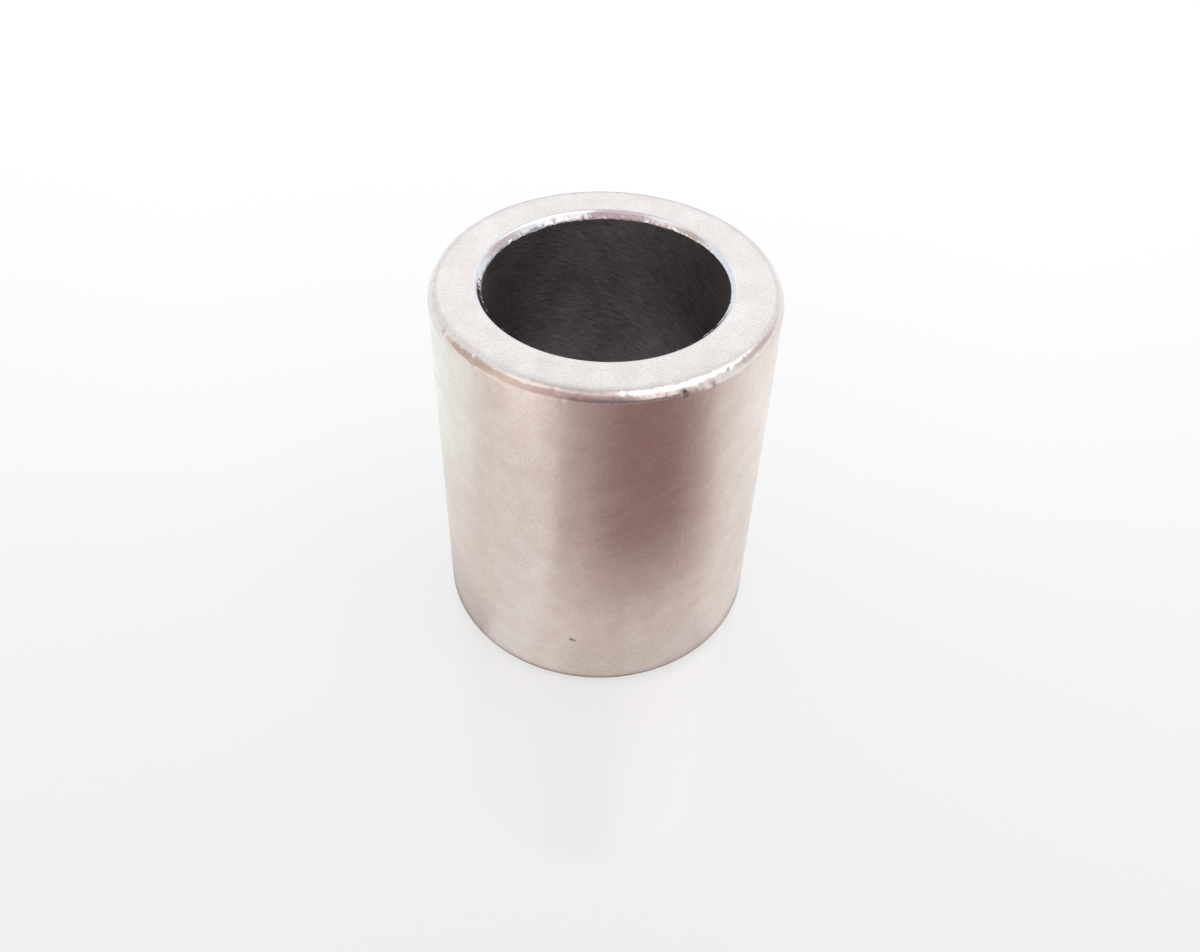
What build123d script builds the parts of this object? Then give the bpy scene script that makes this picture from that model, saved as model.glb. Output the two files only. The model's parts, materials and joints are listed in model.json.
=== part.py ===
"""A plain spacer sleeve: one short piece of thick-walled steel tube, faced square.

Everything is in millimetres. The sleeve's axis is Z. It stands on its lower end
face, and the origin is the centre of that face.
"""

from build123d import *
import os

# Driving dimensions.
OUTER_DIAMETER = 20.0
BORE_DIAMETER = 14.0
LENGTH = 24.0
OUTER_EDGE_ROUND = 0.75   # radius that tumbling left on both outside edges
BORE_EDGE_CHAMFER = 0.3   # 45 degree chamfer that breaks both edges of the bore

OUTER_RADIUS = OUTER_DIAMETER / 2
BORE_RADIUS = BORE_DIAMETER / 2
WALL = OUTER_RADIUS - BORE_RADIUS


def wall_section():
    """The cut through the wall on one side of the axis, with its four corners finished."""
    with BuildSketch(Plane.XZ) as section:
        with Locations((BORE_RADIUS, 0)):
            Rectangle(WALL, LENGTH, align=(Align.MIN, Align.MIN))
        outer_corners = section.vertices().group_by(Axis.X)[-1]
        fillet(outer_corners, radius=OUTER_EDGE_ROUND)
        bore_corners = section.vertices().group_by(Axis.X)[0]
        chamfer(bore_corners, length=BORE_EDGE_CHAMFER)
    return section.sketch


def spacer_sleeve():
    """The whole sleeve: the wall's section turned once about the axis."""
    return revolve(wall_section(), axis=Axis.Z, revolution_arc=360)


def flat_land():
    """Width of the flat ring that is left on each end face, between its chamfer and its round."""
    return WALL - OUTER_EDGE_ROUND - BORE_EDGE_CHAMFER


os.makedirs("parts", exist_ok=True)
sleeve = spacer_sleeve()
export_step(sleeve, "parts/spacer_sleeve.step")

box = sleeve.bounding_box()
print(f"spacer_sleeve: {sleeve.volume:.1f} mm3, valid {sleeve.is_valid}")
print(f"box {box.min} to {box.max}")
print(f"flat land on each end {flat_land():.2f} mm, straight bore {LENGTH - 2 * BORE_EDGE_CHAMFER:.2f} mm")
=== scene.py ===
# %% [markdown]
# # A spacer sleeve, built as a short lesson
#
# A spacer sleeve is a short, thick-walled metal tube. A bolt or an axle passes through it,
# and its two end faces hold two other parts a fixed distance apart. This one is cut from
# steel tube, faced square, tumbled until its outside edges are round, and nickel plated.
#
# The size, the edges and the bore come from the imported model, which is loaded first. It
# stands on its lower end face, with its axis on Z and the origin at the middle of that face.
# Everything is in metres, so a length that a maker gives in millimetres is written 0.75 * MM.

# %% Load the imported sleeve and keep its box
import json
import math
import random

import bmesh
import bpy
from mathutils import Matrix, Vector, kdtree, noise


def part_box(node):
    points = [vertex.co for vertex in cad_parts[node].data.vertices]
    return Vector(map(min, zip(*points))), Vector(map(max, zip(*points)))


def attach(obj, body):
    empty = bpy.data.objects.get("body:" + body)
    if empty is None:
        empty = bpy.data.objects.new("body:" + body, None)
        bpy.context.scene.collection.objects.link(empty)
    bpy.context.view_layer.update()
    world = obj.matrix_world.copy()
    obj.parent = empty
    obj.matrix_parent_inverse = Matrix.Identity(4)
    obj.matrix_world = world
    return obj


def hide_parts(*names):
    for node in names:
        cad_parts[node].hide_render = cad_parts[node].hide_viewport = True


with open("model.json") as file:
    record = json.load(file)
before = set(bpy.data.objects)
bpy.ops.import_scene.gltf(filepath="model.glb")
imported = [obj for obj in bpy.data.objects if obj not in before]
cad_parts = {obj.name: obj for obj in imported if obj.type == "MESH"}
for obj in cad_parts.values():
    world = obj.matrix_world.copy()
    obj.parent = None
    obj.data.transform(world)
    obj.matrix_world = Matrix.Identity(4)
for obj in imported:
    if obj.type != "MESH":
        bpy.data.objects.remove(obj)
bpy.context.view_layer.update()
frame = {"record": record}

MM = 0.001
NODE = "spacer_sleeve"

# %% [markdown]
# ## Measures
#
# The record names the interfaces of the part: the bore, the outside and the two end faces.
# The wall of a round interface is as long as it is straight, so what is missing from the
# whole length is the two edges: a rounded one outside and a chamfer in the bore. Working
# them out from there keeps this file in step with the solid, whatever its size is. Two tiny
# lengths say when places count as near each other, and when as the same.

# %% Read the driving sizes from the frame
mounts = {mount["name"]: mount for mount in frame["record"]["mounts"]}
low_corner, high_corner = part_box(NODE)

LENGTH = high_corner.z - low_corner.z
OUTER_RADIUS = mounts["outside"]["dims"]["r_mm"] * MM
BORE_RADIUS = mounts["bore"]["dims"]["r_mm"] * MM
OUTER_ROUND = (LENGTH - mounts["outside"]["dims"]["length_mm"] * MM) / 2
BORE_CHAMFER = (LENGTH - mounts["bore"]["dims"]["length_mm"] * MM) / 2
WALL = OUTER_RADIUS - BORE_RADIUS
NEAR = 0.01 * MM
TOUCHING = 0.001 * MM
print(f"outside {2 * OUTER_RADIUS / MM:.2f}, bore {2 * BORE_RADIUS / MM:.2f} mm across")
print(f"length {LENGTH / MM:.2f}, wall {WALL / MM:.2f} mm")
print(f"outer round {OUTER_ROUND / MM:.2f}, bore chamfer {BORE_CHAMFER / MM:.2f} mm")

# %% [markdown]
# ## The section of the wall
#
# A turned part is easiest to make the way a lathe makes it: draw the cut through the wall on
# one side of the axis, then turn it once round. The cut is a rectangle. A grid of one face
# gives it, and a vertex bevel finishes its corners: many steps and a profile of 0.5 give a
# true quarter circle, one step gives a chamfer. A cylinder primitive with a Boolean hole
# would leave long thin faces on the ends, and no control over where its edges fall.

# %% Draw the rectangle
def wall_rectangle():
    """One upright face in the XZ plane that fills the wall's section."""
    section = bmesh.new()
    bmesh.ops.create_grid(section, x_segments=1, y_segments=1, size=0.5)
    upright = Matrix.Rotation(math.pi / 2, 3, "X")
    bmesh.ops.rotate(section, verts=section.verts, cent=(0, 0, 0), matrix=upright)
    bmesh.ops.translate(section, verts=section.verts, vec=(0.5, 0, 0.5))
    bmesh.ops.scale(section, verts=section.verts, vec=(WALL, 1, LENGTH))
    bmesh.ops.translate(section, verts=section.verts, vec=(BORE_RADIUS, 0, 0))
    return section


section = wall_rectangle()
print("corners of the rectangle:", len(section.verts))

# %% [markdown]
# The two outside corners become quarter circles. The two corners at the bore get a chamfer,
# and where that meets the end face a light touch of the countersink leaves a soft shoulder.

# %% Finish the corners
OUTER_STEPS = 12
SHOULDER = 0.10 * MM
SHOULDER_STEPS = 3


def finish_corners(section, radius, size, steps):
    """Bevels the corners that stand at one radius: one step is a chamfer, more are an arc."""
    corners = [vert for vert in section.verts if abs(vert.co.x - radius) < NEAR]
    bmesh.ops.bevel(section, geom=corners, offset=size, offset_type="OFFSET",
                    affect="VERTICES", segments=steps, profile=0.5, material=-1)


finish_corners(section, OUTER_RADIUS, OUTER_ROUND, OUTER_STEPS)
finish_corners(section, BORE_RADIUS, BORE_CHAMFER, 1)
finish_corners(section, BORE_RADIUS + BORE_CHAMFER, SHOULDER, SHOULDER_STEPS)
print("points round the section:", len(section.verts))

# %% [markdown]
# Only the outline is turned, so the face inside it goes now: it would stay behind as a wall
# inside the metal. The straight stretches are still single edges, and the wear that follows
# needs points to move. So the long ones are cut into pieces and the chamfers into finer ones.
# The end faces get short pieces too, so that a ding on the round beside them can't tilt the
# whole flat, and the outside gets its finest pieces in the one band where it has a pit.

# %% Keep the outline and cut its straight stretches
LONG_PIECE = 1.5 * MM
END_PIECE = 0.35 * MM
CHAMFER_PIECE = 0.08 * MM
PIT_PIECE = 0.10 * MM
PIT_BAND = (3.6 * MM, 4.8 * MM)


def cut_edges(section, picked, piece):
    """Divides each picked edge into parts that are no longer than one piece."""
    by_cuts = {}
    for edge in picked:
        cuts = math.ceil(edge.calc_length() / piece) - 1
        if cuts > 0:
            by_cuts.setdefault(cuts, []).append(edge)
    for cuts, edges in by_cuts.items():
        bmesh.ops.subdivide_edges(section, edges=edges, cuts=cuts)


def middle_of(edge):
    """The point half-way along an edge."""
    return (edge.verts[0].co + edge.verts[1].co) / 2


bmesh.ops.delete(section, geom=section.faces[:], context="FACES_ONLY")
chamfers = [e for e in section.edges if NEAR < middle_of(e).x - BORE_RADIUS < BORE_CHAMFER - SHOULDER]
cut_edges(section, chamfers, CHAMFER_PIECE)
ends = [e for e in section.edges if abs(e.verts[0].co.z - e.verts[1].co.z) < TOUCHING]
cut_edges(section, ends, END_PIECE)
cut_edges(section, section.edges[:], LONG_PIECE)
outside = [e for e in section.edges if middle_of(e).x > OUTER_RADIUS - NEAR]
pit_band = [e for e in outside if PIT_BAND[0] < middle_of(e).z < PIT_BAND[1]]
cut_edges(section, pit_band, PIT_PIECE)
print("points after cutting the straights:", len(section.verts))

# %% [markdown]
# ## Turning the section
#
# Spin grows slow as its steps add up, so the outline is turned through a quarter only. Three
# copies of that quarter, each turned on by another quarter, close the ring, and merging the
# doubled points along the four seams makes it one skin. Merging comes before the normals are
# worked out, because open seams can leave a quarter inside out.

# %% Spin a quarter, then copy it round
QUARTER_STEPS = 180


def turn_once_round(section, quarter_steps):
    """Makes the whole ring from the outline and points all its faces outwards."""
    bmesh.ops.spin(section, geom=section.verts[:] + section.edges[:], cent=(0, 0, 0),
                   axis=(0, 0, 1), dvec=(0, 0, 0), angle=math.pi / 2, steps=quarter_steps,
                   use_merge=False, use_duplicate=False)
    quarter = section.verts[:] + section.edges[:] + section.faces[:]
    for count in (1, 2, 3):
        copied = bmesh.ops.duplicate(section, geom=quarter)["geom"]
        points = [item for item in copied if isinstance(item, bmesh.types.BMVert)]
        turn = Matrix.Rotation(count * math.pi / 2, 3, "Z")
        bmesh.ops.rotate(section, verts=points, cent=(0, 0, 0), matrix=turn)
    bmesh.ops.remove_doubles(section, verts=section.verts, dist=TOUCHING)
    bmesh.ops.recalc_face_normals(section, faces=section.faces)
    return section


sleeve_mesh = turn_once_round(section, QUARTER_STEPS)
open_edges = sum(1 for edge in sleeve_mesh.edges if not edge.is_manifold)
volume = sleeve_mesh.calc_volume(signed=True) / MM ** 3
print(f"faces {len(sleeve_mesh.faces)}, open edges {open_edges}, volume {volume:.0f} mm3")

# %% [markdown]
# ## Wear on the edges
#
# Parts that are tumbled and shipped loose knock against each other, so the edges carry small
# dings. A bump map can't change an outline, so these are real: every point near the place of
# a ding is pressed in, with a smooth fall-off. Places are given as a maker would give them:
# an angle round the sleeve, from the front towards the right, and a height. On the rounded
# edge a lean says where: 0 is at the end face and 90 at the outside. A KD tree finds the
# points near a place without looking at all of them.

# %% Press a ding into the surface
def place(angle, radius, height):
    """A point on the sleeve, from its angle in degrees, its radius and its height."""
    turned = math.radians(angle)
    return Vector((radius * math.sin(turned), -radius * math.cos(turned), height))


def place_on_round(angle, lean, upper=True):
    """A point on the outer rounded edge, from its angle and its lean in degrees."""
    leaning = math.radians(lean)
    radius = OUTER_RADIUS - OUTER_ROUND * (1 - math.sin(leaning))
    drop = OUTER_ROUND * (1 - math.cos(leaning))
    return place(angle, radius, LENGTH - drop if upper else drop)


def map_of_points(mesh):
    """The points of a mesh, sorted so that those near a place are found quickly."""
    mesh.verts.ensure_lookup_table()
    nearby = kdtree.KDTree(len(mesh.verts))
    for vert in mesh.verts:
        nearby.insert(vert.co, vert.index)
    nearby.balance()
    return nearby


def press(mesh, nearby, centre, reach, depth):
    """Presses the surface in by up to depth, within reach of centre."""
    found = nearby.find_range(centre, reach)
    for _, index, distance in found:
        away = distance / reach
        vert = mesh.verts[index]
        vert.co -= vert.normal * depth * (1 - away * away) ** 2
    return len(found)


RIM_DINGS = [
    # angle, lean, reach and depth
    (24.6, 64, 0.22 * MM, 0.07 * MM),
    (33.5, 55, 0.30 * MM, 0.03 * MM),
    (38.0, 50, 0.34 * MM, 0.03 * MM),
    (-42.6, 45, 0.45 * MM, 0.04 * MM),
    (-59.8, 45, 0.26 * MM, 0.04 * MM),
    (-71.7, 40, 0.20 * MM, 0.04 * MM),
    (-86.0, 40, 0.22 * MM, 0.05 * MM),
]
sleeve_mesh.normal_update()
nearby = map_of_points(sleeve_mesh)
for angle, lean, reach, depth in RIM_DINGS:
    count = press(sleeve_mesh, nearby, place_on_round(angle, lean), reach, depth)
    print(f"ding at {angle} degrees moved {count} points")

# %% [markdown]
# Between the few dings that stand out, both outer edges are peppered with finer ones from the
# tumbler, and one stretch of the upper edge is ragged from a harder knock. They come from a
# seeded random row, so every run gives the same sleeve. Each range below is the least and
# the most: leans and angles in degrees, then how far a ding reaches and how deep it is.

# %% Pepper the outer edges
FINE_DINGS = 420
FINE_LEAN = (5, 85)
FINE_REACH = (0.12 * MM, 0.34 * MM)
FINE_DEPTH = (0.004 * MM, 0.018 * MM)
RAGGED_DINGS = 22
RAGGED_STRETCH = (28, 43)
RAGGED_LEAN = (25, 75)
RAGGED_REACH = (0.14 * MM, 0.26 * MM)
RAGGED_DEPTH = (0.008 * MM, 0.016 * MM)

dice = random.Random(24)
for number in range(FINE_DINGS):
    spot = place_on_round(dice.uniform(0, 360), dice.uniform(*FINE_LEAN), upper=number % 2 == 0)
    press(sleeve_mesh, nearby, spot, dice.uniform(*FINE_REACH), dice.uniform(*FINE_DEPTH))
for number in range(RAGGED_DINGS):
    spot = place_on_round(dice.uniform(*RAGGED_STRETCH), dice.uniform(*RAGGED_LEAN))
    press(sleeve_mesh, nearby, spot, dice.uniform(*RAGGED_REACH), dice.uniform(*RAGGED_DEPTH))
print("fine dings pressed:", FINE_DINGS + RAGGED_DINGS)

# %% [markdown]
# The chamfer in the bore was cut by hand. The tool bit deeper at the back left than at the
# front right, and it chattered, which leaves fine teeth along the lower edge, most where it
# bit most. A point moves down the bore at the lower edge and outwards at the shoulder, where
# the drift is half as large. The fourth power keeps the teeth to the last strip at the lower
# edge, so that the cut above it stays smooth.

# %% Make the chamfer uneven
DEEPEST_AT = math.radians(-138)
HAND_DRIFT = 0.14 * MM
CHATTER = 0.09 * MM
CHATTER_EVERYWHERE = 0.6
TOOTH_LENGTH = 0.22 * MM
WAVE_LENGTH = 0.80 * MM
WAVE_HEIGHT = 0.5


def cut_unevenly(mesh):
    """Moves the points of both chamfers by the hand's drift and the tool's chatter."""
    moved = 0
    for vert in mesh.verts:
        across = Vector((vert.co.x, vert.co.y, 0))
        from_end = min(vert.co.z, LENGTH - vert.co.z)
        from_bore = across.length - BORE_RADIUS
        if from_end > BORE_CHAMFER + TOUCHING or from_bore > BORE_CHAMFER + SHOULDER + TOUCHING:
            continue
        low = min(from_end / BORE_CHAMFER, 1.0)
        angle = math.atan2(vert.co.x, -vert.co.y)
        teeth = noise.noise(vert.co / TOOTH_LENGTH)
        teeth += WAVE_HEIGHT * noise.noise(vert.co / WAVE_LENGTH)
        bite = math.cos(angle - DEEPEST_AT)
        shaking = CHATTER_EVERYWHERE + (1 - CHATTER_EVERYWHERE) * bite
        shift = HAND_DRIFT * bite * (0.5 + 0.5 * low) + CHATTER * shaking * teeth * low ** 4
        down = Vector((0, 0, math.copysign(1, LENGTH / 2 - vert.co.z)))
        vert.co += (across.normalized() * (1 - low) + down * low) * shift
        moved += 1
    return moved


print("points moved on the chamfers:", cut_unevenly(sleeve_mesh))

# %% [markdown]
# The outside has one pit, low on the front, where the plating didn't take. It is a short slanting one,
# so it is two presses side by side. The pit is painted darker, and the deepest ding of the upper edge,
# which is the first in the list, gets painted shade in its hollow. Their places are written to an
# attribute called painted_dark, which the nickel reads later.

# %% Make the pit, and paint it and the deepest ding darker
PIT = [
    # angle, height, reach and depth
    (-8.2, 4.23 * MM, 0.17 * MM, 0.04 * MM),
    (-7.2, 4.15 * MM, 0.13 * MM, 0.02 * MM),
]
# how much darker the pit is painted, and how much painted shade the deepest ding gets
DARKER_IN_PIT = 0.85
SHADE_IN_DING = 0.8
SHADED_DING = (24.6, 66, 0.28 * MM)  # angle, lean and reach
painted_dark_layer = sleeve_mesh.verts.layers.float.new("painted_dark")


def painted_dark(mesh, nearby, centre, reach, strength):
    """Paints a place darker, strongest at its middle."""
    for _, index, distance in nearby.find_range(centre, reach):
        vert = mesh.verts[index]
        vert[painted_dark_layer] = max(vert[painted_dark_layer], strength * (1 - (distance / reach) ** 2))


for angle, height, reach, depth in PIT:
    centre = place(angle, OUTER_RADIUS, height)
    painted_dark(sleeve_mesh, nearby, centre, reach, DARKER_IN_PIT)
    print("points in the pit:", press(sleeve_mesh, nearby, centre, reach, depth))
angle, lean, reach = SHADED_DING
painted_dark(sleeve_mesh, nearby, place_on_round(angle, lean), reach, SHADE_IN_DING)

# %% [markdown]
# ## The object
#
# The outside, the bore and the chamfers have finishes of their own, so each face gets a slot
# by where it lies. The plating of an end face runs on over the shoulder as far as that is
# almost flat. The chamfer is taken to be a tenth deeper than drawn, because its lower edge is
# uneven. An attribute called edge is 0 on the flats and 1 half-way round an edge, and lets the
# nickel be more polished there.
#
# Smooth shading averages the normals of the faces round a point. Beside a round that tilts
# the first strip of a flat end, which shows at once in bright metal. The Weighted Normal
# modifier lets the larger face win, so that flats stay flat and the rounds take the turn. The
# cut corners, where a chamfer meets the bore, are kept crisp by marking their edges sharp.

# %% Give the mesh an object
OUTSIDE, INSIDE, CHAMFERS = 0, 1, 2
ALMOST_FLAT = 0.005 * MM
CHAMFER_DEPTH = 1.1 * BORE_CHAMFER
SHARP = math.radians(30)


def slot_of(face):
    """The slot that a face belongs to, from where its middle lies."""
    middle = face.calc_center_median()
    from_bore = math.hypot(middle.x, middle.y) - BORE_RADIUS
    from_end = min(middle.z, LENGTH - middle.z)
    if from_bore > BORE_CHAMFER + SHOULDER or from_end < ALMOST_FLAT:
        return OUTSIDE
    return CHAMFERS if from_end < CHAMFER_DEPTH else INSIDE


def mark_edges(mesh):
    """Writes the edge attribute, from how far each normal leans from flat and from upright."""
    mesh.normal_update()
    edge_layer = mesh.verts.layers.float.new("edge")
    for vert in mesh.verts:
        round_the_axis = math.hypot(vert.normal.x, vert.normal.y)
        vert[edge_layer] = (1 - max(abs(vert.normal.z), round_the_axis)) / (1 - math.sqrt(0.5))


def as_object(mesh, name):
    """The finished mesh as an object at the origin."""
    data = bpy.data.meshes.new(name)
    mesh.to_mesh(data)
    mesh.free()
    thing = bpy.data.objects.new(name, data)
    bpy.context.scene.collection.objects.link(thing)
    return thing


for face in sleeve_mesh.faces:
    face.smooth = True
    face.material_index = slot_of(face)
for edge in sleeve_mesh.edges:
    edge.smooth = edge.calc_face_angle() < SHARP
print("sharp edges:", sum(1 for edge in sleeve_mesh.edges if not edge.smooth))
mark_edges(sleeve_mesh)
sleeve = as_object(sleeve_mesh, "turned_sleeve")
weighted = sleeve.modifiers.new("flats_stay_flat", "WEIGHTED_NORMAL")
weighted.mode = "FACE_AREA"
weighted.weight = 100
weighted.keep_sharp = True
slots = [polygon.material_index for polygon in sleeve.data.polygons]
by_slot = [slots.count(slot) for slot in (OUTSIDE, INSIDE, CHAMFERS)]
print("faces outside, in the bore, on the chamfers:", by_slot)
print("triangles in the sleeve:", sum(len(p.vertices) - 2 for p in sleeve.data.polygons))

# %% [markdown]
# ## Helpers for the finishes
#
# Colours are written as sRGB hex values, as a paint card gives them, and turned to the linear
# values that a shader takes. Nodes are all added by one small function, which takes their
# settings and their inputs: a number or a colour is set, and another node's output is linked.
# A Mix node has inputs for every kind of value, and several of them share a name, so they are
# picked by number. Those numbers get names here.

# %% One helper for colours and one for nodes
FACTOR, NUMBER_A, NUMBER_B, COLOUR_A, COLOUR_B = 0, 2, 3, 6, 7
MIXED_NUMBER, MIXED_COLOUR = 0, 2


def srgb(hex_colour):
    """An sRGB hex colour as the linear values that a shader takes."""
    def linear(value):
        return value / 12.92 if value <= 0.04045 else ((value + 0.055) / 1.055) ** 2.4
    parts = [int(hex_colour[i:i + 2], 16) / 255 for i in (1, 3, 5)]
    return tuple(linear(part) for part in parts) + (1.0,)


def add_node(tree, kind, settings=None, inputs=None):
    """Adds a node, sets its properties, and sets or links its inputs by name or number."""
    node = tree.nodes.new(kind)
    for key, value in (settings or {}).items():
        setattr(node, key, value)
    for key, value in (inputs or {}).items():
        if isinstance(value, bpy.types.NodeSocket):
            tree.links.new(value, node.inputs[key])
        else:
            node.inputs[key].default_value = value
    return node


def new_finish(name):
    """A material with an empty tree."""
    material = bpy.data.materials.new(name)
    material.use_nodes = True
    material.node_tree.nodes.clear()
    return material, material.node_tree


print("middle grey as a shader takes it:", [round(part, 3) for part in srgb("#808080")])

# %% [markdown]
# ## Nickel plate on tumbled steel
#
# The common name is satin nickel. The steel was tumbled with ceramic stones before plating,
# and the plating follows that skin. It gives the eye a soft, warm grey metal: large shapes
# mirror in it, but blurred, and it sparkles faintly where the light rakes over it.
#
# Four patterns on Object coordinates make the skin. The grain of the stones is about 0.05 mm
# on the real part, too fine to show, so it is drawn at 0.17 mm. Clouds of 1.3 mm are where the
# stones worked unevenly. Drifts of 5 mm change how blurred the mirror is. Wipes are the long,
# slanting marks that a cloth leaves, 0.6 mm wide and 6 mm long: a Mapping node turns and
# stretches their noise. The rounded edges took the hardest knocks, so they are smoother.

# %% The patterns in the nickel
GRAIN = 0.17 * MM
CLOUDS = 1.3 * MM
DRIFTS = 5.0 * MM
WIPE_LENGTH = 6.0 * MM
WIPE_WIDTH = 0.6 * MM
WIPE_SLANT = math.radians(28)


def nickel_patterns(tree):
    """The four noises of the tumbled skin, each a socket from 0 to 1."""
    where = add_node(tree, "ShaderNodeTexCoord").outputs["Object"]
    slanted = add_node(tree, "ShaderNodeMapping", {"vector_type": "TEXTURE"}, {
        "Vector": where, "Rotation": (0, -WIPE_SLANT, 0),
        "Scale": (WIPE_LENGTH, WIPE_LENGTH, WIPE_WIDTH)})
    patterns = {}
    for name, size in (("grain", GRAIN), ("clouds", CLOUDS), ("drifts", DRIFTS)):
        patterns[name] = add_node(tree, "ShaderNodeTexNoise", {}, {
            "Vector": where, "Scale": 1 / size, "Detail": 1.0}).outputs[0]
    patterns["wipes"] = add_node(tree, "ShaderNodeTexNoise", {}, {
        "Vector": slanted.outputs[0], "Scale": 1.0, "Detail": 1.0}).outputs[0]
    return patterns


print(f"grain {GRAIN / MM:.2f}, clouds {CLOUDS / MM:.1f}, drifts {DRIFTS / MM:.1f} mm")
print(f"wipes {WIPE_LENGTH / MM:.1f} by {WIPE_WIDTH / MM:.1f} mm")

# %% [markdown]
# The patterns now drive the shader. Colour changes little: nickel that is a shade warmer in the clouds,
# with a few percent of grain, and a dark brown where the painted_dark attribute says so. That brown is
# painted shade in the deepest ding and a darker colour in the pit. Roughness carries most of the look,
# from 0.21 to 0.30. The bump is only a few thousandths of a millimetre, because a mirror shows even a
# slight slope. Noise keeps mostly between 0.3 and 0.7, and the sum of two between 0.7 and 1.3, so it is
# stretched from there.

# %% The finish of the outside
NICKEL = "#D6C9C1"
NICKEL_WARM = "#D0C1B8"
# dark brown painted into the pit, and as painted shade into the deepest ding
PAINTED_DARK_COLOUR = "#4A3A38"
SPECK = (0.945, 1.055)
NICKEL_ROUGHNESS = (0.21, 0.30)
BURNISHED = 0.6
CLOUD_HEIGHT = 0.5
SKIN_DEPTH = 0.003 * MM


def satin_nickel():
    """Nickel plate over tumbled steel."""
    material, tree = new_finish("satin_nickel_tumbled")
    patterns = nickel_patterns(tree)
    edge = add_node(tree, "ShaderNodeAttribute", {"attribute_name": "edge"})
    darkening = add_node(tree, "ShaderNodeAttribute", {"attribute_name": "painted_dark"})

    tone = add_node(tree, "ShaderNodeMapRange", {}, {
        "Value": patterns["clouds"], "From Min": 0.3, "From Max": 0.7})
    colour = add_node(tree, "ShaderNodeMix", {"data_type": "RGBA"}, {
        FACTOR: tone.outputs[0], COLOUR_A: srgb(NICKEL), COLOUR_B: srgb(NICKEL_WARM)})
    speck = add_node(tree, "ShaderNodeMapRange", {}, {
        "Value": patterns["grain"], "From Min": 0.3, "From Max": 0.7,
        "To Min": SPECK[0], "To Max": SPECK[1]})
    speckled = add_node(tree, "ShaderNodeVectorMath", {"operation": "SCALE"}, {
        0: colour.outputs[MIXED_COLOUR], "Scale": speck.outputs[0]})
    # painted shade in the deepest ding and a darker pit, where the attribute says so
    darkened = add_node(tree, "ShaderNodeMix", {"data_type": "RGBA"}, {
        FACTOR: darkening.outputs["Fac"], COLOUR_A: speckled.outputs[0], COLOUR_B: srgb(PAINTED_DARK_COLOUR)})

    unevenness = add_node(tree, "ShaderNodeMath", {"operation": "ADD"}, {
        0: patterns["drifts"], 1: patterns["wipes"]})
    worn = add_node(tree, "ShaderNodeMapRange", {}, {
        "Value": unevenness.outputs[0], "From Min": 0.7, "From Max": 1.3,
        "To Min": NICKEL_ROUGHNESS[0], "To Max": NICKEL_ROUGHNESS[1]})
    burnished = add_node(tree, "ShaderNodeMapRange", {}, {
        "Value": edge.outputs["Fac"], "To Min": 1.0, "To Max": BURNISHED})
    rough = add_node(tree, "ShaderNodeMath", {"operation": "MULTIPLY"}, {
        0: worn.outputs[0], 1: burnished.outputs[0]})

    height = add_node(tree, "ShaderNodeMath", {"operation": "MULTIPLY_ADD"}, {
        0: patterns["clouds"], 1: CLOUD_HEIGHT, 2: patterns["grain"]})
    bump = add_node(tree, "ShaderNodeBump", {}, {"Distance": SKIN_DEPTH, "Height": height.outputs[0]})
    shader = add_node(tree, "ShaderNodeBsdfPrincipled", {}, {
        "Base Color": darkened.outputs[MIXED_COLOUR], "Metallic": 1.0, "Roughness": rough.outputs[0],
        "Normal": bump.outputs[0]})
    add_node(tree, "ShaderNodeOutputMaterial", {}, {"Surface": shader.outputs[0]})
    return material


sleeve.data.materials.append(satin_nickel())
print("outside:", sleeve.data.materials[OUTSIDE].name)

# %% [markdown]
# ## The reamed bore and its chamfers
#
# The common name is reamed steel. A reamer turns as it is fed down the hole, so its fine
# marks run round the bore on a slant, and plating hardly reaches down there. It gives the eye
# a dull, dark grey with short, paler, slanting flecks. Noise that is long in X and Y and
# short in Z runs round the hole by itself, with no UV map, and a turned Mapping node slants
# it. The flecks are 0.6 mm long. Their width is a few hundredths of a millimetre on the real
# part and is drawn at 0.11 mm. A second, wider noise makes patches that are a little darker.
# The sum of the two keeps mostly between 0.45 and 0.95, and runs from dark to pale there.
#
# The chamfers are the same steel, cut by a countersink before the plating. They are smoother
# than the outside and nearly as pale, so a reflection in them is sharp and bright. One
# function makes both finishes.

# %% The finish of the bore and the chamfers
MARK_LENGTH = 0.6 * MM
MARK_SLANT = math.radians(25)
SHADE_SIZE = 2.5 * MM
SHADE_STRENGTH = 0.4


def tool_marked(name, pale, dark, mark_width, roughness, depth):
    """Steel with the fine marks of a cutting tool."""
    material, tree = new_finish(name)
    where = add_node(tree, "ShaderNodeTexCoord").outputs["Object"]
    along = add_node(tree, "ShaderNodeMapping", {"vector_type": "TEXTURE"}, {
        "Vector": where, "Rotation": (0, MARK_SLANT, 0),
        "Scale": (MARK_LENGTH, MARK_LENGTH, mark_width)})
    marks = add_node(tree, "ShaderNodeTexNoise", {}, {
        "Vector": along.outputs[0], "Scale": 1.0, "Detail": 2.0, "Roughness": 0.6})
    shades = add_node(tree, "ShaderNodeTexNoise", {}, {
        "Vector": where, "Scale": 1 / SHADE_SIZE, "Detail": 1.0})
    both = add_node(tree, "ShaderNodeMath", {"operation": "MULTIPLY_ADD"}, {
        0: shades.outputs[0], 1: SHADE_STRENGTH, 2: marks.outputs[0]})
    tone = add_node(tree, "ShaderNodeMapRange", {}, {
        "Value": both.outputs[0], "From Min": 0.45, "From Max": 0.95})
    colour = add_node(tree, "ShaderNodeMix", {"data_type": "RGBA"}, {
        FACTOR: tone.outputs[0], COLOUR_A: srgb(dark), COLOUR_B: srgb(pale)})
    bump = add_node(tree, "ShaderNodeBump", {}, {"Distance": depth, "Height": marks.outputs[0]})
    shader = add_node(tree, "ShaderNodeBsdfPrincipled", {}, {
        "Base Color": colour.outputs[MIXED_COLOUR], "Metallic": 1.0, "Roughness": roughness,
        "Normal": bump.outputs[0]})
    add_node(tree, "ShaderNodeOutputMaterial", {}, {"Surface": shader.outputs[0]})
    return material


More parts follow.
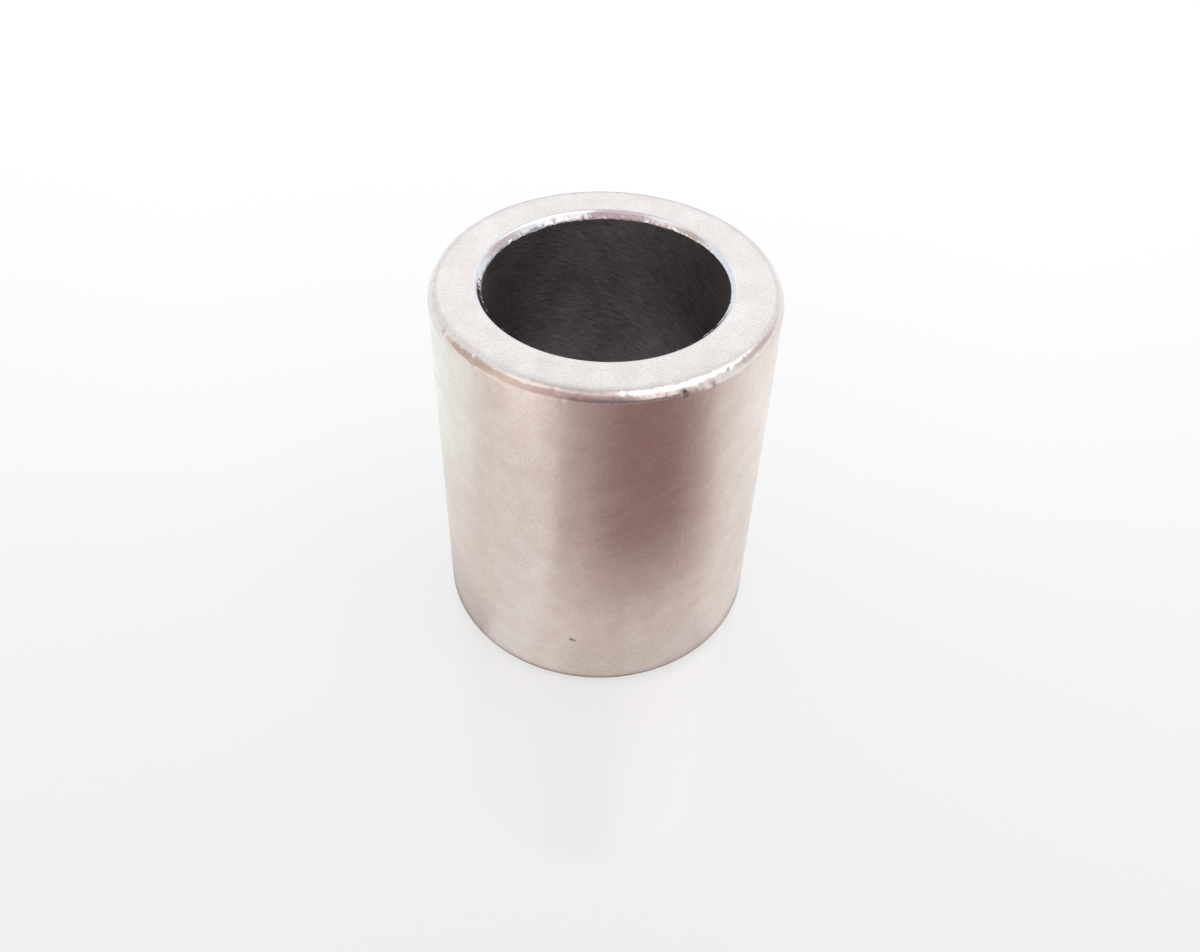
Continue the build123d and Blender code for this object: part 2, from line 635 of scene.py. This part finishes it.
# name, pale and dark colour, width of a mark, roughness, depth of a mark
bore_finish = tool_marked("reamed_steel_bore", "#C5BFBF", "#898483", 0.11 * MM, 0.40, 0.004 * MM)
chamfer_finish = tool_marked("plated_cut_chamfer", "#DBD4D2", "#CAC3C2", 0.06 * MM, 0.14, 0.002 * MM)
sleeve.data.materials.append(bore_finish)
sleeve.data.materials.append(chamfer_finish)
print("slots:", [material.name for material in sleeve.data.materials])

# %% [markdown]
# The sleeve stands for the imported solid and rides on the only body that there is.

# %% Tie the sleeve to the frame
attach(sleeve, "root")
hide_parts(NODE)
print("the sleeve replaces", NODE)

# %% [markdown]
# ## What the metal mirrors
#
# Bright metal has almost no colour of its own: what it mirrors makes its look. The sleeve
# stands on a white table in a pale room, and a person leans over it. The room and the table
# get soft patches of light and shade for that, which only mirror rays see, so the background
# stays plain. A real object in each place would do the same, but it would have to be kept out
# of every view and would cast shadows on the table.
#
# A patch is a set of limits. Each limit has four values: where the patch starts, is full,
# starts to fade and ends.

# %% Helpers for soft patches
def patch_cover(tree, cover, limits):
    """How much a patch covers: cover inside all its limits, fading to 0 past them."""
    for value, (starts, full, fades, ends) in limits:
        for outer, inner in ((starts, full), (ends, fades)):
            ramp = add_node(tree, "ShaderNodeMapRange", {"interpolation_type": "SMOOTHSTEP"}, {
                "Value": value, "From Min": outer, "From Max": inner})
            cover = add_node(tree, "ShaderNodeMath", {"operation": "MULTIPLY"}, {
                0: cover, 1: ramp.outputs[0]}).outputs[0]
    return cover


def lay_patches(tree, base, light_kind, patches):
    """Lays patches of plain light over a shader, the later ones on top."""
    for cover, colour, level in patches:
        light = add_node(tree, light_kind, {}, {"Color": srgb(colour), "Strength": level})
        base = add_node(tree, "ShaderNodeMixShader", {}, {
            0: cover, 1: base.outputs[0], 2: light.outputs[0]})
    return base


def angle_round_sleeve(tree, vector):
    """The angle of a point or a direction in degrees, from the front towards the right."""
    split = add_node(tree, "ShaderNodeSeparateXYZ", {}, {0: vector})
    forward = add_node(tree, "ShaderNodeMath", {"operation": "MULTIPLY"}, {
        0: split.outputs["Y"], 1: -1.0})
    turned = add_node(tree, "ShaderNodeMath", {"operation": "ARCTAN2"}, {
        0: split.outputs["X"], 1: forward.outputs[0]})
    return add_node(tree, "ShaderNodeMath", {"operation": "DEGREES"}, {0: turned.outputs[0]}).outputs[0]


EVERYWHERE = (-401, -400, 400, 401)
print("limits that leave nothing out:", EVERYWHERE)

# %% [markdown]
# ## The table
#
# The table is white laminate with a gloss: it holds a faint, sharp mirror image of the
# sleeve. In a picture it has to come out nearly white without more light on the metal, so
# most of its brightness is a glow that only the camera and mirrors see. The rest is paint,
# which takes the soft shadow. The table is a shade darker towards the front: its glow goes
# from the first level to the second between two places on Y.
#
# The outside of the sleeve mirrors the table far more than the room. The patches are the
# bright table to both sides, two pale stripes from a lamp, the brown of the person leaning in
# and something dark behind. Close to the sleeve they are its own shade on the table, the
# dimmer table inside the bore and the thin dark gap under the lower edge.

# %% White laminate
LAMINATE = "#F7F6F5"
LAMINATE_ROUGHNESS = 0.08
NO_PAINT = "#000000"
GLOW = "#FFFEFE"
GLOW_SHARE = 0.76
GLOW_PLACES = (-38 * MM, 10 * MM)
GLOW_LEVELS = (0.79, 0.88)
GLOW_IN_MIRRORS = 0.97
TABLE_PATCHES = [
    # colour, level, cover, angles round the sleeve, distances from its axis in mm
    ("#F2FDFF", 1.29, 1.00, (-200, -190, -92, -66), (16, 28, 200, 400)),
    ("#FBFEFF", 1.20, 1.00, (76, 102, 190, 200), (16, 30, 200, 400)),
    ("#FFFFFF", 1.25, 1.00, (-60, -52, -37, -30), (29, 37, 200, 400)),
    ("#9F8280", 1.00, 0.50, (-28, -19, 54, 84), (11, 27, 200, 400)),
    ("#9F8280", 1.00, 0.97, (-27, 18, 36, 76), (10, 26, 200, 400)),
    ("#F7FAFF", 1.09, 1.00, (-53, -46, -31, -22), (9.5, 11, 17, 24)),
    ("#8F8380", 0.80, 0.90, (150, 174, 400, 401), (26, 46, 200, 400)),
    ("#8F8380", 0.80, 0.90, (-401, -400, -174, -150), (26, 46, 200, 400)),
    ("#A8A2A6", 1.00, 0.36, (-110, -90, -53, -44), (9, 10, 11, 14)),
    ("#A8A2A6", 1.00, 0.25, (-18, -6, 45, 60), (9, 10, 12, 15)),
    ("#D2CECF", 0.95, 1.00, EVERYWHERE, (-2, -1, 7, 8)),
    ("#6E5A58", 0.40, 1.00, (-65, -35, 35, 65), (0, 2, 7, 8)),
    ("#6E5A58", 1.00, 0.70, EVERYWHERE, (8, 9, 9.9, 10.7)),
]


def glow_of_table(tree, where, seen, mirrored):
    """The strength of the table's glow: darker at the front for the camera, even in mirrors."""
    split = add_node(tree, "ShaderNodeSeparateXYZ", {}, {0: where})
    from_front = add_node(tree, "ShaderNodeMapRange", {}, {
        "Value": split.outputs["Y"], "From Min": GLOW_PLACES[0], "From Max": GLOW_PLACES[1],
        "To Min": GLOW_LEVELS[0], "To Max": GLOW_LEVELS[1]})
    level = add_node(tree, "ShaderNodeMix", {}, {
        FACTOR: mirrored, NUMBER_A: from_front.outputs[0], NUMBER_B: GLOW_IN_MIRRORS})
    return add_node(tree, "ShaderNodeMath", {"operation": "MULTIPLY"}, {
        0: seen, 1: level.outputs[MIXED_NUMBER]}).outputs[0]


def white_laminate():
    """Glossy white laminate, with the patches that the sleeve mirrors."""
    material, tree = new_finish("white_laminate_gloss")
    where = add_node(tree, "ShaderNodeTexCoord").outputs["Object"]
    ray = add_node(tree, "ShaderNodeLightPath")
    either = add_node(tree, "ShaderNodeMath", {"operation": "MAXIMUM"}, {
        0: ray.outputs["Is Camera Ray"], 1: ray.outputs["Is Glossy Ray"]})
    seen = add_node(tree, "ShaderNodeMath", {"operation": "MULTIPLY"}, {
        0: either.outputs[0], 1: GLOW_SHARE}).outputs[0]
    paint = add_node(tree, "ShaderNodeMix", {"data_type": "RGBA"}, {
        FACTOR: seen, COLOUR_A: srgb(LAMINATE), COLOUR_B: srgb(NO_PAINT)})
    plain = add_node(tree, "ShaderNodeBsdfPrincipled", {}, {
        "Base Color": paint.outputs[MIXED_COLOUR], "Roughness": LAMINATE_ROUGHNESS,
        "Emission Color": srgb(GLOW),
        "Emission Strength": glow_of_table(tree, where, seen, ray.outputs["Is Glossy Ray"])})
    angle = angle_round_sleeve(tree, where)
    reach = add_node(tree, "ShaderNodeVectorMath", {"operation": "LENGTH"}, {0: where}).outputs["Value"]
    patches = []
    for colour, level, cover, angles, distances in TABLE_PATCHES:
        mirrored = add_node(tree, "ShaderNodeMath", {"operation": "MULTIPLY"}, {
            0: ray.outputs["Is Glossy Ray"], 1: cover}).outputs[0]
        limits = [(angle, angles), (reach, [distance * MM for distance in distances])]
        patches.append((patch_cover(tree, mirrored, limits), colour, level))
    finish = lay_patches(tree, plain, "ShaderNodeEmission", patches)
    add_node(tree, "ShaderNodeOutputMaterial", {}, {"Surface": finish.outputs[0]})
    return material


laminate = white_laminate()
print(f"{laminate.name}: {len(TABLE_PATCHES)} patches, {len(laminate.node_tree.nodes)} nodes")

# %% [markdown]
# The table top itself is a flat disc, wide enough to reach past every view.

# %% Table top
TABLE_RADIUS = 0.8


def flat_disc(name, radius):
    """A round flat stage piece at the height of the ground."""
    mesh = bmesh.new()
    bmesh.ops.create_circle(mesh, cap_ends=True, segments=96, radius=radius)
    return as_object(mesh, name)


table = flat_disc("table_top", TABLE_RADIUS)
table.data.materials.append(laminate)
print(f"table top {2 * TABLE_RADIUS:.1f} m across")

# %% [markdown]
# ## The room
#
# The world is a plain, nearly white room for the camera and for soft light. Mirrors see more:
# a bright wall behind, a darker ceiling, warmer sides, a window high on the right with a lamp
# below it, and the person in front, darkest at the camera and at a cuff. Angles are round the
# sleeve and above the table. The rounded edge sweeps through all of it within a millimetre,
# which is what gives such an edge its bright and dark lines.

# %% Pale room
ROOM_WHITE = "#FFFEFD"
ROOM_LEVEL = 0.95
MIRRORED_ROOM = [
    # what is mirrored, colour, level, angles round the sleeve, angles above the table
    ("white_room", "#EBF6FF", 1.34, EVERYWHERE, EVERYWHERE),
    ("bright_wall_right", "#EBF6FF", 1.76, (140, 158, 400, 401), (22, 32, 34, 50)),
    ("bright_wall_left", "#EBF6FF", 1.73, (-401, -400, -158, -140), (22, 32, 34, 50)),
    ("ceiling", "#E8E4EA", 1.00, EVERYWHERE, (62, 78, 400, 401)),
    ("left_side", "#E2D8D2", 1.30, (-112, -98, -50, -36), (-14, -6, 40, 56)),
    ("left_shade", "#E2D8D2", 1.02, (-108, -98, -78, -66), (-14, -6, 42, 58)),
    ("left_glint", "#FFFFFF", 1.50, (-98, -84, -56, -46), (42, 52, 66, 74)),
    ("right_side", "#D8CCD2", 1.25, (84, 98, 116, 132), (2, 14, 32, 46)),
    ("window", "#F6FAFF", 2.80, (20, 32, 112, 130), (36, 48, 78, 86)),
    ("lamp", "#FFFFFF", 1.40, (22, 32, 44, 54), (14, 22, 50, 60)),
    ("person", "#CDB9BF", 1.30, (-50, -38, 17, 28), (-14, -6, 50, 70)),
    ("camera", "#6E6469", 1.50, (-30, -14, 13, 27), (-14, -6, 2, 62)),
    ("right_hand", "#CDB9BF", 1.30, (44, 49, 54, 64), (-14, -6, 34, 54)),
    ("right_cuff", "#6E6469", 1.10, (0, 12, 50, 58), (-14, -6, 7, 18)),
]


def pale_room():
    """The world: plain for the camera, with patches for mirrors."""
    world = bpy.data.worlds.new("pale_room")
    world.use_nodes = True
    tree = world.node_tree
    tree.nodes.clear()
    direction = add_node(tree, "ShaderNodeTexCoord").outputs["Generated"]
    mirrored = add_node(tree, "ShaderNodeLightPath").outputs["Is Glossy Ray"]
    split = add_node(tree, "ShaderNodeSeparateXYZ", {}, {0: direction})
    upwards = add_node(tree, "ShaderNodeMath", {"operation": "ARCSINE"}, {0: split.outputs["Z"]})
    above = add_node(tree, "ShaderNodeMath", {"operation": "DEGREES"}, {
        0: upwards.outputs[0]}).outputs[0]
    angle = angle_round_sleeve(tree, direction)
    patches = []
    for _, colour, level, round_angles, up_angles in MIRRORED_ROOM:
        cover = patch_cover(tree, mirrored, [(angle, round_angles), (above, up_angles)])
        patches.append((cover, colour, level))
    plain = add_node(tree, "ShaderNodeBackground", {}, {
        "Color": srgb(ROOM_WHITE), "Strength": ROOM_LEVEL})
    sky = lay_patches(tree, plain, "ShaderNodeBackground", patches)
    add_node(tree, "ShaderNodeOutputWorld", {}, {"Surface": sky.outputs[0]})
    return world


bpy.context.scene.world = pale_room()
print("things in the mirrored room:", [row[0] for row in MIRRORED_ROOM])

# %% [markdown]
# ## Key light
#
# One soft lamp high on the right gives the table its faint shadow on the left. Mirrors don't
# see it, because the room already has its window there, and a second one would show as a
# white disc on the end face.

# %% Softbox
def softbox(name, size, watts, spot, aim):
    """A round white lamp that points at a place."""
    lamp = bpy.data.lights.new(name, "AREA")
    lamp.shape = "DISK"
    lamp.size = size
    lamp.energy = watts
    thing = bpy.data.objects.new(name, lamp)
    thing.location = spot
    thing.rotation_euler = (aim - spot).to_track_quat("-Z", "Y").to_euler()
    bpy.context.scene.collection.objects.link(thing)
    thing.visible_camera = False
    thing.visible_glossy = False
    return thing


KEY_SIZE = 90 * MM
KEY_WATTS = 0.05
KEY_SPOT = Vector((110, -30, 240)) * MM
key = softbox("key_softbox", KEY_SIZE, KEY_WATTS, KEY_SPOT, Vector((0, 0, LENGTH / 2)))
print(f"key light {key.data.energy} W")

# %% [markdown]
# ## Camera
#
# The view is a hand-held close-up from the front and above. The camera stands about eight
# sleeve radii away, so its place is given in radii, and it is turned a little round its own
# axis, as a hand holds it.

# %% Camera
CAMERA_BACK = 5.42991 * OUTER_RADIUS
CAMERA_HEIGHT = 6.16734 * OUTER_RADIUS
LOOKS_DOWN = math.radians(44.281)
HAND_TURN = math.radians(1.909)

camera_data = bpy.data.cameras.new("camera")
camera_data.lens = 35.0
camera_data.sensor_width = 36.0
camera_data.clip_start = 1.0 * MM
camera = bpy.data.objects.new("camera", camera_data)
camera.location = (0, -CAMERA_BACK, CAMERA_HEIGHT)
look_down = Matrix.Rotation(math.pi / 2 - LOOKS_DOWN, 3, "X")
hand_turn = Matrix.Rotation(HAND_TURN, 3, "Z")
camera.rotation_euler = (look_down @ hand_turn).to_euler()
bpy.context.scene.collection.objects.link(camera)
bpy.context.scene.camera = camera
bpy.context.scene.view_settings.view_transform = "Standard"
print(f"camera {camera.location.length / MM:.0f} mm from the foot of the sleeve")

# %% [markdown]
# ## The end
#
# The view layer is brought up to date.

# %% Bring the view layer up to date
bpy.context.view_layer.update()
